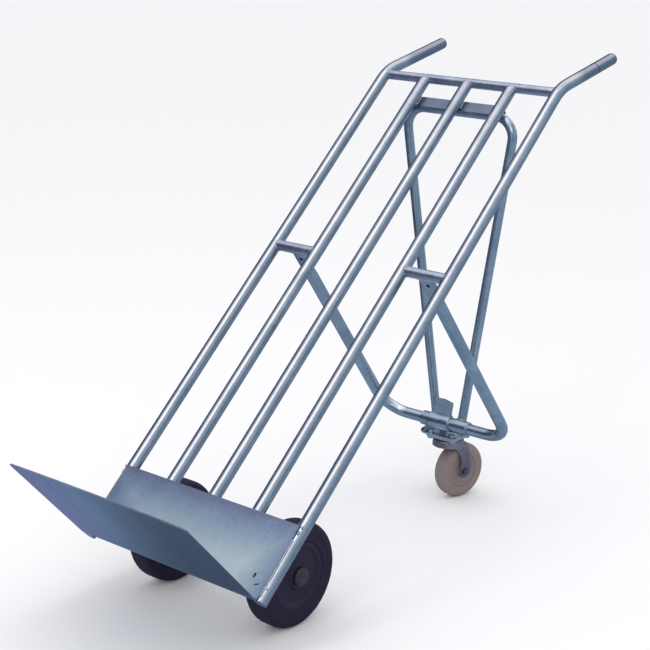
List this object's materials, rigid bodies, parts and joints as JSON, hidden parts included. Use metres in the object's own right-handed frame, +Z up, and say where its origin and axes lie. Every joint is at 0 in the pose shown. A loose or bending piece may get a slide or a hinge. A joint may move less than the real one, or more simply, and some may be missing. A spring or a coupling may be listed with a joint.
{
  "type": "convertible hand truck",
  "caption": "Tube-framed hand truck with a toe plate and bent handles, tipped back on its wheels and held by a folding rear support leg with a swivel caster.",
  "frame": {"origin": "centre of the bounding box's bottom, on the floor under the truck", "axes": "+X across the truck, +Y backwards to the operator (handles), +Z up"},
  "size_m": [0.465, 1.2835, 0.9971],
  "materials": {
    "rail_tube": "satin zinc-plated steel tube, drawn",
    "plate_sheet": "satin zinc-plated sheet steel, faintly mottled",
    "support_tube": "satin zinc-plated steel tube with welds",
    "fittings_steel": "zinc-plated steel fittings and fasteners",
    "fork_steel": "dark zinc-plated pressed steel",
    "black_plastic": "dark moulded plastic, fine matt grain",
    "black_rubber": "dark solid rubber, smooth tread, matt",
    "grey_rubber": "grey solid rubber, matt"
  },
  "bodies": {
    "frame": {"rail_outer_left": "rail_tube", "handle_cap_left": "rail_tube", "rail_outer_right": "rail_tube", "handle_cap_right": "rail_tube", "rail_inner_left": "rail_tube", "rail_inner_centre": "rail_tube", "rail_inner_right": "rail_tube", "top_crossbar": "rail_tube", "toe_plate": "plate_sheet", "pivot_spindle_left": "fittings_steel", "pivot_spindle_right": "fittings_steel", "strut_catch": "support_tube", "axle_bracket_left": "support_tube", "axle_bracket_right": "support_tube", "stub_axle_left": "fittings_steel", "hub_cap_left": "black_plastic", "stub_axle_right": "fittings_steel", "hub_cap_right": "black_plastic"},
    "wheel_left": {"tyre_left": "black_rubber", "wheel_centre_left": "black_plastic"},
    "wheel_right": {"tyre_right": "black_rubber", "wheel_centre_right": "black_plastic"},
    "support_leg": {"leg_tube": "support_tube", "leg_sleeve_left": "support_tube", "leg_sleeve_right": "support_tube"},
    "support_strut": {"strut_tube": "support_tube", "knuckle_sleeve": "support_tube", "strut_saddle": "fittings_steel", "cradle_web_left": "fittings_steel", "cradle_web_right": "fittings_steel", "caster_base": "fittings_steel", "caster_plate": "fittings_steel", "caster_bolt_1": "fittings_steel", "caster_nut_1": "fittings_steel", "caster_bolt_2": "fittings_steel", "caster_nut_2": "fittings_steel", "caster_bolt_3": "fittings_steel", "caster_nut_3": "fittings_steel", "caster_bolt_4": "fittings_steel", "caster_nut_4": "fittings_steel", "caster_race": "fittings_steel", "caster_kingpin": "fittings_steel"},
    "caster_swivel_body": {"caster_fork": "fork_steel", "caster_axle_bolt": "fittings_steel", "caster_axle_nut": "fittings_steel"},
    "caster_wheel": {"caster_tyre": "grey_rubber", "caster_hub": "black_plastic"}
  },
  "joints": [
    {"name": "wheel_left_spin", "type": "hinge", "parent": "frame", "child": "wheel_left", "pos_m": [-0.1514, -0.29665, 0.101], "axis": [1, 0, 0], "continuous": true},
    {"name": "wheel_right_spin", "type": "hinge", "parent": "frame", "child": "wheel_right", "pos_m": [0.1514, -0.29665, 0.101], "axis": [1, 0, 0], "continuous": true},
    {"name": "leg_fold", "type": "hinge", "parent": "frame", "child": "support_leg", "pos_m": [0, 0.07263, 0.60296], "axis": [-1, 0, 0], "range_deg": [0, 65]},
    {"name": "strut_fold", "type": "hinge", "parent": "support_leg", "child": "support_strut", "pos_m": [0, 0.40075, 0.1804], "axis": [1, 0, 0], "range_deg": [0, 31]},
    {"name": "caster_swivel", "type": "hinge", "parent": "support_strut", "child": "caster_swivel_body", "pos_m": [0, 0.41345, 0.145], "axis": [0, 0, 1], "continuous": true},
    {"name": "caster_spin", "type": "hinge", "parent": "caster_swivel_body", "child": "caster_wheel", "pos_m": [0.00728, 0.44769, 0.0625], "axis": [0.9781, -0.2079, 0], "continuous": true}
  ],
  "couplings": [
    {"joint": "strut_fold", "follows": "leg_fold", "ratio": 0.469}
  ]
}
